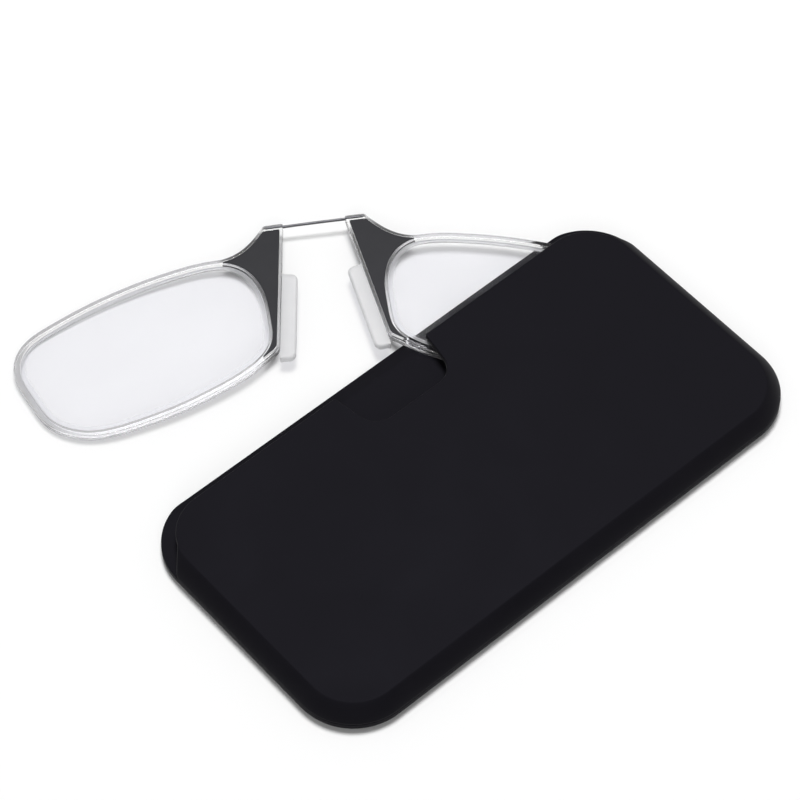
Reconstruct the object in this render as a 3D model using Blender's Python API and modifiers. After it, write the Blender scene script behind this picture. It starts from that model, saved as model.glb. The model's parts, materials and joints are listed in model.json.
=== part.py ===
"""Reading glasses without temples, held on the nose by a flexing bridge, half drawn out of their flat case.

The frame halves lie face up. The case stands on its stick-on back at z = 0, centred on the origin,
with its long side along X and its open edge towards +Y. The right half lies in the pocket. The left
half hangs from the bridge until its outer end meets the surface the case stands on.
"""

import math

import bmesh
import bpy
from mathutils import Matrix, Vector
from mathutils.geometry import interpolate_bezier

MM = 0.001

# Case
CASE_LENGTH = 116.0 * MM
CASE_WIDTH = 60.4 * MM
CASE_CORNER_RADIUS = 12.4 * MM
BACK_THICKNESS = 1.4 * MM
COVER_THICKNESS = 1.1 * MM
EDGE_SLOPE = 2.9 * MM  # the sloped edge of the cover takes this much off its top, each way
END_WALL = 2.6 * MM
FAR_WALL = 3.4 * MM
WALL_END_SETBACK = 8.7 * MM  # the end walls stop this far short of the open edge
WALL_END_TAPER = 5.0 * MM  # and are cut back this much further on their outer side
LEAD_IN_DROP = 0.6 * MM  # how far the floor falls away at the open edge
SEAM = 0.1 * MM  # between the back and the cover

# Thumb notch in the cover
NOTCH_WIDTH = 19.6 * MM  # along its straight inner end, before the corners are rounded
NOTCH_DEPTH = 13.1 * MM
NOTCH_LEAN = math.radians(9)
NOTCH_CORNER_RADIUS = 4.6 * MM

# Locating pins of the cover
PIN_DIAMETER = 1.2 * MM
PIN_LENGTH = 0.8 * MM
PIN_CLEARANCE = 0.1 * MM
FAR_PIN_SPACING = 70.0 * MM

# Adhesive pad and its liner
PAD_LENGTH = 102.0 * MM
PAD_WIDTH = 50.0 * MM
PAD_CORNER_RADIUS = 8.0 * MM
ADHESIVE_THICKNESS = 0.8 * MM
LINER_THICKNESS = 0.15 * MM
PAD_STANDOFF = 0.6 * MM  # the back stands this far above the surface
STUCK_GAP = 0.05 * MM
PAD_SIDE_CLEARANCE = 0.3 * MM

# Glasses
GLASSES_THICKNESS = 1.8 * MM
POCKET_CLEARANCE = 0.2 * MM  # above and below the glasses
LENS_WIDTH = 48.6 * MM
LENS_HEIGHT = 34.85 * MM
LENS_THICKNESS = 0.8 * MM
LENS_TOP_DROP = 7.4 * MM  # from the bridge strip's middle line to the top of the lens opening
LENS_NOSE_SET = 11.9 * MM  # from the middle of the nose gap to the lens opening
RIM_WIDTH = 1.15 * MM
LEDGE_WIDTH = 0.3 * MM
LEDGE_THICKNESS = 0.5 * MM
LENS_FIT = 0.1 * MM

BRIDGE_SPAN = 12.4 * MM  # free length of the strip
BRIDGE_THICKNESS = 0.4 * MM
BRIDGE_HEIGHT = 0.6 * MM
BRIDGE_GRIP = 3.5 * MM  # length of strip held in each half
BRIDGE_FIT = 0.1 * MM
BRIDGE_COVERING = 0.3 * MM  # frame above the strip's slot

NOSE_EDGE_LENGTH = 29.6 * MM
NOSE_EDGE_LEAN = math.radians(8.4)
NOSE_CORNER_RADIUS = 2.2 * MM
SHOULDER_START = Vector((2.5, -3.35)) * MM  # handles of the shoulder's curve
SHOULDER_END = Vector((-4.6, 0.2)) * MM

PLATE_THICKNESS = 1.0 * MM
PLATE_BORDER = 0.8 * MM  # clear frame left around the nose plate
PLATE_WEB = 0.5 * MM  # clear frame between the nose plate and the lens
PLATE_FIT = 0.1 * MM

NOSE_PAD_START = 11.6 * MM  # down the nose edge
NOSE_PAD_LENGTH = 20.4 * MM
NOSE_PAD_REACH = 3.1 * MM
NOSE_PAD_THICKNESS = 1.6 * MM
NOSE_PAD_RADIUS = 1.4 * MM
NOSE_PAD_FIT = 0.1 * MM

# The lens opening: each point is its share of the way across from the nose and down from the top.
LENS_SHAPE = (
    (0.167, 0.000),
    (0.372, 0.036),
    (0.619, 0.138),
    (0.846, 0.281),
    (0.961, 0.390),
    (1.000, 0.534),
    (0.961, 0.712),
    (0.879, 0.915),
    (0.733, 1.000),
    (0.496, 0.947),
    (0.280, 0.844),
    (0.095, 0.712),
    (0.014, 0.591),
    (0.000, 0.433),
    (0.014, 0.209),
    (0.072, 0.060),
)
LENS_STEPS = 4  # points drawn for each point of the lens opening
RIM_LAST_POINT = 11  # the rim's own outline runs from the first point to this one

# Where the glasses lie
OUTER_END = Vector((65.621, 29.604)) * MM  # of the right half, taken along the bridge's line
GLASSES_TURN = math.radians(-32.8)
TIP_CLEARANCE = 0.1 * MM  # under the outer end of the left half

# Drawing
ARC_STEPS = 6
SLOPE_STEPS = 5
SLOPE_FULLNESS = 0.34  # 0.5 is a round edge, and less is flatter
BRIDGE_STEPS = 8
PIN_SIDES = 16
OVERCUT = 1.0 * MM
WELD = 0.001 * MM
FLAT_ENOUGH = math.radians(0.3)

# Heights
back_underside = PAD_STANDOFF
floor_top = back_underside + BACK_THICKNESS
cover_underside = floor_top + SEAM
glasses_underside = floor_top + POCKET_CLEARANCE
glasses_middle = glasses_underside + GLASSES_THICKNESS / 2
ceiling = glasses_underside + GLASSES_THICKNESS + POCKET_CLEARANCE
cover_top = ceiling + COVER_THICKNESS

# Plan of the case
half_length = CASE_LENGTH / 2
half_width = CASE_WIDTH / 2
wall_end = half_width - WALL_END_SETBACK

slot_half_thickness = BRIDGE_THICKNESS / 2 + BRIDGE_FIT
frame_top = slot_half_thickness + BRIDGE_COVERING
lens_far_side = LENS_NOSE_SET + LENS_WIDTH + RIM_WIDTH
bridge_middle = OUTER_END - Matrix.Rotation(GLASSES_TURN, 2) @ Vector((lens_far_side, 0))
droop = math.asin((glasses_underside - TIP_CLEARANCE) / lens_far_side)


def clear_scene():
    for item in list(bpy.data.objects):
        bpy.data.objects.remove(item, do_unlink=True)


def new_collection(name):
    made = bpy.data.collections.new(name)
    bpy.context.scene.collection.children.link(made)
    return made


def new_material(name, colour, roughness, metallic=0.0, alpha=1.0):
    made = bpy.data.materials.new(name)
    made.use_nodes = True
    shader = made.node_tree.nodes["Principled BSDF"]
    shader.inputs["Base Color"].default_value = (*colour, 1.0)
    shader.inputs["Roughness"].default_value = roughness
    shader.inputs["Metallic"].default_value = metallic
    shader.inputs["Alpha"].default_value = alpha
    return made


def rounded(corners, steps=ARC_STEPS):
    """A closed outline through corners (point, radius), each rounded by an arc of its radius."""
    outline = []
    for i, (corner, radius) in enumerate(corners):
        before = (corners[i - 1][0] - corner).normalized()
        after = (corners[(i + 1) % len(corners)][0] - corner).normalized()
        if radius == 0:
            outline.append(corner)
            continue
        half_angle = before.angle(after) / 2
        middle = corner + (before + after).normalized() * radius / math.sin(half_angle)
        start = corner + before * radius / math.tan(half_angle) - middle
        end = corner + after * radius / math.tan(half_angle) - middle
        sweep = math.atan2(start.cross(end), start.dot(end))
        for k in range(steps + 1):
            turn = sweep * k / steps
            outline.append(
                middle
                + Vector((
                    start.x * math.cos(turn) - start.y * math.sin(turn),
                    start.x * math.sin(turn) + start.y * math.cos(turn),
                ))
            )
    return outline


def rectangle(x0, x1, y0, y1, radius=0.0):
    corners = ((x0, y1), (x1, y1), (x1, y0), (x0, y0))
    return rounded([(Vector(c), radius) for c in corners])


def smooth_loop(points, steps):
    """A closed smooth curve through points, with each tangent along the line between its neighbours."""
    outline = []
    count = len(points)
    for i, here in enumerate(points):
        there = points[(i + 1) % count]
        reach = (there - here).length / 3
        leaving = (there - points[i - 1]).normalized() * reach
        arriving = (points[(i + 2) % count] - here).normalized() * reach
        outline += interpolate_bezier(here, here + leaving, there - arriving, there, steps + 1)[:-1]
    return outline


def moved_out(outline, distance):
    """A clockwise outline with every side moved out by distance, or in if it is negative."""
    moved = []
    for i, here in enumerate(outline):
        side_in = (here - outline[i - 1]).normalized()
        side_out = (outline[(i + 1) % len(outline)] - here).normalized()
        normal_in = Vector((-side_in.y, side_in.x))
        normal_out = Vector((-side_out.y, side_out.x))
        moved.append(here + (normal_in + normal_out) * distance / (1 + normal_in.dot(normal_out)))
    return moved


def new_object(name, mesh, collection, material=None):
    made = bpy.data.objects.new(name, mesh)
    collection.objects.link(made)
    if material:
        mesh.materials.append(material)
    return made


def prism(name, outline, z0, z1, collection, material=None):
    """A flat outline made a solid between two heights."""
    curve = bpy.data.curves.new(name, "CURVE")
    curve.dimensions = "2D"
    curve.fill_mode = "BOTH"
    curve.extrude = (z1 - z0) / 2
    spline = curve.splines.new("POLY")
    spline.points.add(len(outline) - 1)
    for point, place in zip(spline.points, outline):
        point.co = (place.x, place.y, 0, 1)
    spline.use_cyclic_u = True
    drawn = bpy.data.objects.new(name + "_outline", curve)
    collection.objects.link(drawn)
    graph = bpy.context.evaluated_depsgraph_get()
    mesh = bpy.data.meshes.new_from_object(drawn.evaluated_get(graph))
    bpy.data.objects.remove(drawn, do_unlink=True)
    shape = bmesh.new()
    shape.from_mesh(mesh)
    bmesh.ops.remove_doubles(shape, verts=shape.verts, dist=WELD)
    bmesh.ops.dissolve_limit(
        shape,
        angle_limit=FLAT_ENOUGH,
        verts=shape.verts,
        edges=shape.edges,
    )
    bmesh.ops.translate(shape, verts=shape.verts, vec=(0, 0, (z0 + z1) / 2))
    bmesh.ops.recalc_face_normals(shape, faces=shape.faces)
    shape.to_mesh(mesh)
    shape.free()
    return new_object(name, mesh, collection, material)


def cylinder(name, place, diameter, z0, z1, collection):
    shape = bmesh.new()
    bmesh.ops.create_cone(
        shape,
        cap_ends=True,
        segments=PIN_SIDES,
        radius1=diameter / 2,
        radius2=diameter / 2,
        depth=z1 - z0,
    )
    bmesh.ops.translate(shape, verts=shape.verts, vec=(place.x, place.y, (z0 + z1) / 2))
    mesh = bpy.data.meshes.new(name)
    shape.to_mesh(mesh)
    shape.free()
    return new_object(name, mesh, collection)


def combine(target, tool, operation):
    """Adds a Boolean modifier, and hides its tool."""
    modifier = target.modifiers.new(tool.name, "BOOLEAN")
    modifier.object = tool
    modifier.operation = operation
    modifier.solver = "EXACT"
    tool.hide_render = True
    tool.display_type = "WIRE"


def case_outline():
    return rectangle(-half_length, half_length, -half_width, half_width, CASE_CORNER_RADIUS)


def pin_places():
    end_pin = half_length - END_WALL / 2
    far_pin = -half_width + FAR_WALL / 2
    return [
        Vector((end_pin, 0)),
        Vector((-end_pin, 0)),
        Vector((FAR_PIN_SPACING / 2, far_pin)),
        Vector((-FAR_PIN_SPACING / 2, far_pin)),
    ]


def make_back(parts, cutters, material):
    back = prism("case_back", case_outline(), back_underside, floor_top, parts, material)
    recess_half_length = PAD_LENGTH / 2 + PAD_SIDE_CLEARANCE
    recess_half_width = PAD_WIDTH / 2 + PAD_SIDE_CLEARANCE
    recess = rectangle(
        -recess_half_length,
        recess_half_length,
        -recess_half_width,
        recess_half_width,
        PAD_CORNER_RADIUS + PAD_SIDE_CLEARANCE,
    )
    recess_top = LINER_THICKNESS + ADHESIVE_THICKNESS + 2 * STUCK_GAP
    combine(
        back,
        prism("recess_cutter", recess, back_underside - OVERCUT, recess_top, cutters),
        "DIFFERENCE",
    )
    for i, place in enumerate(pin_places()):
        hole = cylinder(
            f"pin_hole_cutter_{i}",
            place,
            PIN_DIAMETER + 2 * PIN_CLEARANCE,
            floor_top - PIN_LENGTH - PIN_CLEARANCE,
            floor_top + OVERCUT,
            cutters,
        )
        combine(back, hole, "DIFFERENCE")
    combine(back, lead_in_cutter(cutters), "DIFFERENCE")


def lead_in_cutter(cutters):
    """A wedge along the open edge, as long as the gap between the ends of the end walls."""
    run = EDGE_SLOPE
    slope = LEAD_IN_DROP / run
    section = [
        Vector((half_width - run, floor_top)),
        Vector((half_width - run, floor_top + OVERCUT)),
        Vector((half_width + OVERCUT, floor_top + OVERCUT)),
        Vector((half_width + OVERCUT, floor_top - slope * (run + OVERCUT))),
    ]
    half_span = half_length - CASE_CORNER_RADIUS
    wedge = prism("lead_in_cutter", section, -half_span, half_span, cutters)
    wedge.rotation_euler = (math.radians(90), 0, math.radians(90))
    return wedge


def bevel_top(target, height, amount):
    """Slopes off the edges of the face at this height."""
    weights = target.data.attributes.new("bevel_weight_edge", "FLOAT", "EDGE")
    for edge in target.data.edges:
        ends = [target.data.vertices[v].co.z for v in edge.vertices]
        weights.data[edge.index].value = float(min(ends) > height - WELD)
    modifier = target.modifiers.new("sloped_edge", "BEVEL")
    modifier.limit_method = "WEIGHT"
    modifier.width = amount
    modifier.segments = SLOPE_STEPS
    modifier.profile = SLOPE_FULLNESS
    modifier.use_clamp_overlap = False


def make_cover(parts, cutters, material):
    cover = prism("case_cover", case_outline(), cover_underside, cover_top, parts, material)
    bevel_top(cover, cover_top, EDGE_SLOPE)
    inner_x = half_length - END_WALL
    inner_y = -half_width + FAR_WALL
    inner_radius = CASE_CORNER_RADIUS - END_WALL
    pocket = rounded([
        (Vector((-inner_x, half_width + OVERCUT)), 0.0),
        (Vector((inner_x, half_width + OVERCUT)), 0.0),
        (Vector((inner_x, inner_y)), inner_radius),
        (Vector((-inner_x, inner_y)), inner_radius),
    ])
    combine(
        cover,
        prism("pocket_cutter", pocket, cover_underside - OVERCUT, ceiling, cutters),
        "DIFFERENCE",
    )
    combine(cover, mouth_cutter(cutters), "DIFFERENCE")
    combine(cover, notch_cutter(cutters), "DIFFERENCE")
    for i, place in enumerate(pin_places()):
        pin = cylinder(
            f"pin_{i}",
            place,
            PIN_DIAMETER,
            floor_top - PIN_LENGTH,
            cover_underside + OVERCUT / 2,
            cutters,
        )
        combine(cover, pin, "UNION")


def mouth_cutter(cutters):
    """Takes the sloped edge off along the open side, between the ends of the end walls."""
    lip = [
        point
        for point in moved_out(case_outline(), -EDGE_SLOPE)
        if point.y > wall_end
    ]
    left, right = min(lip, key=lambda p: p.x), max(lip, key=lambda p: p.x)
    reach = half_length + OVERCUT
    outline = [
        Vector((-reach, half_width + OVERCUT)),
        Vector((reach, half_width + OVERCUT)),
        Vector((reach, wall_end - WALL_END_TAPER)),
        Vector((right.x, wall_end)),
        *sorted(lip, key=lambda p: -p.x),
        Vector((left.x, wall_end)),
        Vector((-reach, wall_end - WALL_END_TAPER)),
    ]
    return prism("mouth_cutter", outline, cover_underside - OVERCUT, cover_top + OVERCUT, cutters)


def notch_cutter(cutters):
    inner_end = half_width - NOTCH_DEPTH
    flare = (NOTCH_DEPTH + OVERCUT) * math.tan(NOTCH_LEAN)
    half_end = NOTCH_WIDTH / 2
    outline = rounded([
        (Vector((-half_end - flare, half_width + OVERCUT)), 0.0),
        (Vector((half_end + flare, half_width + OVERCUT)), 0.0),
        (Vector((half_end, inner_end)), NOTCH_CORNER_RADIUS),
        (Vector((-half_end, inner_end)), NOTCH_CORNER_RADIUS),
    ])
    return prism("notch_cutter", outline, ceiling - OVERCUT, cover_top + OVERCUT, cutters)


def make_sticky_pad(parts, foam, paper):
    outline = rectangle(
        -PAD_LENGTH / 2,
        PAD_LENGTH / 2,
        -PAD_WIDTH / 2,
        PAD_WIDTH / 2,
        PAD_CORNER_RADIUS,
    )
    adhesive_underside = LINER_THICKNESS + STUCK_GAP
    prism("release_liner", outline, 0, LINER_THICKNESS, parts, paper)
    prism(
        "adhesive_pad",
        outline,
        adhesive_underside,
        adhesive_underside + ADHESIVE_THICKNESS,
        parts,
        foam,
    )


def lens_opening():
    points = [
        Vector((LENS_NOSE_SET + across * LENS_WIDTH, -LENS_TOP_DROP - down * LENS_HEIGHT))
        for across, down in LENS_SHAPE
    ]
    return smooth_loop(points, LENS_STEPS)


def nose_edge_bottom():
    along = Vector((math.sin(NOSE_EDGE_LEAN), -math.cos(NOSE_EDGE_LEAN)))
    return Vector((BRIDGE_SPAN / 2, 0)) + along * NOSE_EDGE_LENGTH


def frame_outline():
    """Clockwise: over the bridge's grip, down the shoulder, round the rim and back up the nose edge."""
    rim = moved_out(lens_opening(), RIM_WIDTH)[: RIM_LAST_POINT * LENS_STEPS + 1]
    top_inner = Vector((BRIDGE_SPAN / 2 - frame_top * math.tan(NOSE_EDGE_LEAN), frame_top))
    top_outer = Vector((BRIDGE_SPAN / 2 + BRIDGE_GRIP + BRIDGE_FIT + BRIDGE_COVERING, frame_top))
    shoulder = interpolate_bezier(
        top_outer,
        top_outer + SHOULDER_START,
        rim[0] + SHOULDER_END,
        rim[0],
        2 * ARC_STEPS,
    )
    corners = [(point, 0.0) for point in [top_inner, *shoulder[:-1], *rim]]
    corners.append((nose_edge_bottom(), NOSE_CORNER_RADIUS))
    return rounded(corners)


def mirrored(outline, side):
    return [Vector((side * point.x, point.y)) for point in outline]


def plate_shape(name, fit, z0, z1, side, parts, cutters, material=None):
    """The triangle between the shoulder, the nose edge and the lens, smaller all round by fit."""
    inside = moved_out(frame_outline(), -PLATE_BORDER - fit)
    plate = prism(name, mirrored(inside, side), z0, z1, parts, material)
    around_lens = moved_out(lens_opening(), PLATE_WEB + fit)
    lens_cut = prism(name + "_lens_cutter", mirrored(around_lens, side), z0 - OVERCUT, z1 + OVERCUT, cutters)
    combine(plate, lens_cut, "DIFFERENCE")
    below_slot = -frame_top - fit
    above = rectangle(0, lens_far_side, below_slot, frame_top + OVERCUT)
    top_cut = prism(name + "_top_cutter", mirrored(above, side), z0 - OVERCUT, z1 + OVERCUT, cutters)
    combine(plate, top_cut, "DIFFERENCE")
    return plate


def make_half(side, name, parent, parts, cutters, materials):
    """The frame, lens, nose plate and nose pad of one half, in the frame of the bridge's middle.

    side is 1 for the right half and -1 for the left. Heights count from the middle of the thickness.
    """
    underside = -GLASSES_THICKNESS / 2
    top = GLASSES_THICKNESS / 2
    lens_seat = underside + LEDGE_THICKNESS
    lens_underside = lens_seat + LENS_FIT
    opening = lens_opening()

    rim = prism(name + "_rim", mirrored(frame_outline(), side), underside, top, parts, materials["clear"])
    lens = prism(
        name + "_lens",
        mirrored(moved_out(opening, -LENS_FIT), side),
        lens_underside,
        lens_underside + LENS_THICKNESS,
        parts,
        materials["lens"],
    )
    plate = plate_shape(
        name + "_nose_plate",
        PLATE_FIT,
        top - PLATE_THICKNESS,
        top,
        side,
        parts,
        cutters,
        materials["black"],
    )
    pad = prism(
        name + "_nose_pad",
        mirrored(nose_pad_outline(), side),
        -NOSE_PAD_THICKNESS / 2,
        NOSE_PAD_THICKNESS / 2,
        parts,
        materials["silicone"],
    )
    window = plate_shape(
        name + "_window_cutter",
        0,
        top - PLATE_THICKNESS - PLATE_FIT,
        top + OVERCUT,
        side,
        cutters,
        cutters,
    )
    bore = mirrored(moved_out(opening, -LEDGE_WIDTH), side)
    slot = rectangle(
        0,
        BRIDGE_SPAN / 2 + BRIDGE_GRIP + BRIDGE_FIT,
        -slot_half_thickness,
        slot_half_thickness,
    )
    slot_half_height = BRIDGE_HEIGHT / 2 + BRIDGE_FIT
    tools = [
        prism(name + "_bore_cutter", bore, underside - OVERCUT, top + OVERCUT, cutters),
        prism(name + "_seat_cutter", mirrored(opening, side), lens_seat, top + OVERCUT, cutters),
        prism(name + "_slot_cutter", mirrored(slot, side), -slot_half_height, slot_half_height, cutters),
        window,
    ]
    for tool in tools:
        combine(rim, tool, "DIFFERENCE")

    for piece in [rim, lens, plate, pad]:
        piece.parent = parent
        for modifier in piece.modifiers:
            modifier.object.parent = parent
    for modifier in window.modifiers:
        modifier.object.parent = parent


def nose_pad_outline():
    """A strip beside the straight nose edge, with its free corners rounded."""
    along = Vector((math.sin(NOSE_EDGE_LEAN), -math.cos(NOSE_EDGE_LEAN)))
    across = Vector((-math.cos(NOSE_EDGE_LEAN), -math.sin(NOSE_EDGE_LEAN)))
    start = Vector((BRIDGE_SPAN / 2, 0)) + along * NOSE_PAD_START + across * NOSE_PAD_FIT
    end = start + along * NOSE_PAD_LENGTH
    return rounded([
        (start, 0.0),
        (end, 0.0),
        (end + across * NOSE_PAD_REACH, NOSE_PAD_RADIUS),
        (start + across * NOSE_PAD_REACH, NOSE_PAD_RADIUS),
    ])


def make_bridge(parts, material):
    """A strip on edge, straight in the right half and bent down in between to meet the left half."""
    end = BRIDGE_SPAN / 2 + BRIDGE_GRIP
    stations = [BRIDGE_SPAN / 2 - BRIDGE_SPAN * k / BRIDGE_STEPS for k in range(BRIDGE_STEPS + 1)]
    stations = [end, *stations, -end]
    slope = math.tan(droop)
    line = []
    for x in stations:
        if x >= BRIDGE_SPAN / 2:
            line.append(Vector((x, 0)))
        elif x <= -BRIDGE_SPAN / 2:
            line.append(Vector((x, slope * x)))
        else:
            line.append(Vector((x, -slope * (BRIDGE_SPAN / 2 - x) ** 2 / (2 * BRIDGE_SPAN))))
    rise = Vector((0, BRIDGE_HEIGHT / 2))
    section = [point + rise for point in reversed(line)] + [point - rise for point in line]
    strip = prism("bridge_strip", section, -BRIDGE_THICKNESS / 2, BRIDGE_THICKNESS / 2, parts, material)
    # The section is drawn with its height along the mesh's y, so the mesh is stood up.
    strip.data.transform(Matrix.Rotation(math.radians(90), 4, "X"))
    return strip


def new_empty(name, collection, turn):
    made = bpy.data.objects.new(name, None)
    made.location = (bridge_middle.x, bridge_middle.y, glasses_middle)
    made.rotation_euler = turn
    collection.objects.link(made)
    return made


def main():
    clear_scene()
    parts = new_collection("reading_glasses_with_case")
    cutters = new_collection("cutters")

    soft_touch = new_material("case_soft_touch", (0.012, 0.012, 0.014), 0.55)
    materials = {
        "clear": new_material("frame_clear", (0.86, 0.87, 0.88), 0.08, alpha=0.45),
        "lens": new_material("lens_clear", (0.93, 0.94, 0.96), 0.03, alpha=0.25),
        "black": new_material("plate_black", (0.04, 0.04, 0.045), 0.4),
        "silicone": new_material("pad_silicone", (0.72, 0.72, 0.72), 0.5, alpha=0.7),
    }
    strip_metal = new_material("bridge_metal", (0.32, 0.32, 0.33), 0.3, metallic=1.0)
    foam = new_material("adhesive_foam", (0.5, 0.5, 0.5), 0.8)
    paper = new_material("liner_paper", (0.75, 0.72, 0.62), 0.6)

    make_back(parts, cutters, soft_touch)
    make_cover(parts, cutters, soft_touch)
    make_sticky_pad(parts, foam, paper)

    right_half = new_empty("right_half", parts, (0, 0, GLASSES_TURN))
    left_half = new_empty("left_half", parts, (0, -droop, GLASSES_TURN))
    make_half(1, "right", right_half, parts, cutters, materials)
    make_half(-1, "left", left_half, parts, cutters, materials)
    make_bridge(parts, strip_metal).parent = right_half


main()
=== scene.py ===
import json
import math

import bmesh
import bpy
import numpy as np
from mathutils import Matrix, Vector
from mathutils.geometry import tessellate_polygon

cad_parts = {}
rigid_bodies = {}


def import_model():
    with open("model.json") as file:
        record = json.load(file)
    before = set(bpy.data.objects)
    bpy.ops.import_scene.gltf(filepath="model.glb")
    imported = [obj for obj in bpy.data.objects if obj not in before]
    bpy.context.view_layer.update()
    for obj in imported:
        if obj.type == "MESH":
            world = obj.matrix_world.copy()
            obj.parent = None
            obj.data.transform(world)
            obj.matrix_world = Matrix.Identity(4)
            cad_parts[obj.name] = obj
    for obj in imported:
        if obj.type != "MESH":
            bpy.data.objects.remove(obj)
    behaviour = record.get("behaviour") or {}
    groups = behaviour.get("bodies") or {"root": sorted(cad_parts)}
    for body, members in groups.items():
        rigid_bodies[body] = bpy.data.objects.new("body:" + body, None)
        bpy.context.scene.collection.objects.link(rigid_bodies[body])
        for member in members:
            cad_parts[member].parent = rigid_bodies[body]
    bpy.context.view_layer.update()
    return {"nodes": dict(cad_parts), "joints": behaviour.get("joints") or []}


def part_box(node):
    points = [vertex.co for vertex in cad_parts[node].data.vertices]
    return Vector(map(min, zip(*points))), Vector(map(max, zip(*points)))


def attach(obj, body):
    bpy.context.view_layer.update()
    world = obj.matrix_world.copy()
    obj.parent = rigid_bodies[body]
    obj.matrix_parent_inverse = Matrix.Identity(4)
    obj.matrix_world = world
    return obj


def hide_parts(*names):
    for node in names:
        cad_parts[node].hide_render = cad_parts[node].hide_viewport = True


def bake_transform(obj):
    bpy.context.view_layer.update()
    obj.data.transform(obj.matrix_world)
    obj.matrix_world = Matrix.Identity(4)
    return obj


for item in list(bpy.data.objects):
    bpy.data.objects.remove(item, do_unlink=True)

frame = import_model()
mm = 0.001
print("frame loaded:", len(frame["nodes"]), "solids")


# Outlines. All lengths are in millimetres, and an outline is an array of points that runs clockwise.

def unit(vectors):
    return vectors / np.linalg.norm(vectors, axis=-1, keepdims=True)


def leftOf(vectors):
    return np.stack([-vectors[..., 1], vectors[..., 0]], axis=-1)


def roundedPath(corners, radii, steps=24):
    # straight sides between corners, each corner cut by an arc of its radius: the arc's middle lies on
    # the corner's bisector, and its ends where it touches the two sides
    corners = np.array(corners, float)
    path = []
    for here, before, after, radius in zip(corners, np.roll(corners, 1, 0), np.roll(corners, -1, 0), radii):
        if radius == 0:
            path.append(here[None])
            continue
        back, on = unit(before - here), unit(after - here)
        half = math.acos(back @ on) / 2
        middle = here + unit(back + on) * radius / math.sin(half)
        start = here + back * radius / math.tan(half) - middle
        end = here + on * radius / math.tan(half) - middle
        sweep = math.atan2(start[0] * end[1] - start[1] * end[0], start @ end)
        turn = np.linspace(0, sweep, steps)[:, None]
        path.append(middle + np.cos(turn) * start + np.sin(turn) * leftOf(start))
    return np.vstack(path)


def roundedRectangle(halfX, halfY, radius):
    corners = [(-halfX, halfY), (halfX, halfY), (halfX, -halfY), (-halfX, -halfY)]
    return roundedPath(corners, [radius] * 4)


def evenly(outline, count):
    # the same outline with its points at even distances along it
    closed = np.vstack([outline, outline[:1]])
    along = np.concatenate([[0], np.cumsum(np.linalg.norm(np.diff(closed, axis=0), axis=1))])
    wanted = np.linspace(0, along[-1], count, endpoint=False)
    return np.stack([np.interp(wanted, along, closed[:, k]) for k in (0, 1)], axis=-1)


def softened(outline, spread):
    # each point becomes the Gaussian average of its neighbours over spread, taken round the loop
    spacing = np.linalg.norm(outline[1] - outline[0])
    waves = np.fft.fftfreq(len(outline), spacing)
    kept = np.exp(-2 * (np.pi * waves * spread) ** 2)[:, None]
    return np.fft.ifft(np.fft.fft(outline, axis=0) * kept, axis=0).real


def outwards(outline):
    # at each point the direction between the normals of its two sides, long enough that a step along it
    # moves both sides by one
    sides = leftOf(unit(np.roll(outline, -1, 0) - outline))
    before = np.roll(sides, 1, 0)
    return (sides + before) / (1 + np.sum(sides * before, axis=1, keepdims=True))


def insideRectangle(points, halfX, halfY, radius, middleY=0.0):
    # distance inward from a rounded rectangle: inside it, the nearest side's; past a corner's middle,
    # the radius less the distance from that middle
    past = np.abs(points - [0, middleY]) - [halfX - radius, halfY - radius]
    corner = np.linalg.norm(np.maximum(past, 0), axis=-1)
    return radius - corner - np.minimum(past.max(axis=-1), 0)


def steepest(distance, points, reach=0.01):
    # the direction in which a distance grows fastest, from its differences over a small reach
    across = np.array([reach, 0.0])
    slopeX = distance(points + across) - distance(points - across)
    slopeY = distance(points + across[::-1]) - distance(points - across[::-1])
    return unit(np.stack([slopeX, slopeY], axis=-1))


def smoothStep(low, high, values):
    share = np.clip((values - low) / (high - low), 0, 1)
    return share * share * (3 - 2 * share)


def atHeight(plan, height):
    # points of the plan, lifted to one height or to one each
    return np.column_stack([plan, np.broadcast_to(height, len(plan))])


# Meshes

def ringQuads(rings, points):
    # quads between neighbouring rings of the same number of points
    ring, point = np.meshgrid(np.arange(rings - 1), np.arange(points), indexing="ij")
    following = (point + 1) % points
    here, above = ring * points, (ring + 1) * points
    return np.stack([here + point, here + following, above + following, above + point], -1).reshape(-1, 4)


def makePiece(name, points, faces, material, shadeSmooth=True, uv=None):
    # points in metres; the mesh is closed, its doubles are merged and its faces are turned outwards
    mesh = bpy.data.meshes.new(name)
    mesh.from_pydata(points.tolist(), [], faces)
    if uv is not None:
        layer = mesh.uv_layers.new(name="along")
        corners = np.empty(len(mesh.loops), np.int32)
        mesh.loops.foreach_get("vertex_index", corners)
        layer.data.foreach_set("uv", uv[corners].ravel())
    shape = bmesh.new()
    shape.from_mesh(mesh)
    bmesh.ops.remove_doubles(shape, verts=shape.verts, dist=0.0005 * mm)
    bmesh.ops.recalc_face_normals(shape, faces=shape.faces)
    shape.to_mesh(mesh)
    shape.free()
    if shadeSmooth:
        mesh.shade_smooth()
        mesh.set_sharp_from_angle(angle=math.radians(50))
    mesh.materials.append(material)
    piece = bpy.data.objects.new(name, mesh)
    bpy.context.scene.collection.objects.link(piece)
    return piece


def flatFill(points, loops):
    # triangles between loops of points in one plane, each loop given by its first index and its length
    index = np.concatenate([np.arange(start, start + count) for start, count in loops])
    filled = tessellate_polygon([[Vector(p) for p in points[start:start + count]] for start, count in loops])
    return index[np.array(filled)].tolist()


def stackedRings(rings):
    # a solid from a stack of rings, closed by a flat end at each side
    count = len(rings[0])
    points = np.vstack(rings)
    faces = ringQuads(len(rings), count).tolist()
    faces += flatFill(points, [(0, count)]) + flatFill(points, [(len(points) - count, count)])
    return points, faces


def settle(piece, body, node):
    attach(piece, body)
    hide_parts(node)
    return piece


# Materials

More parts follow.
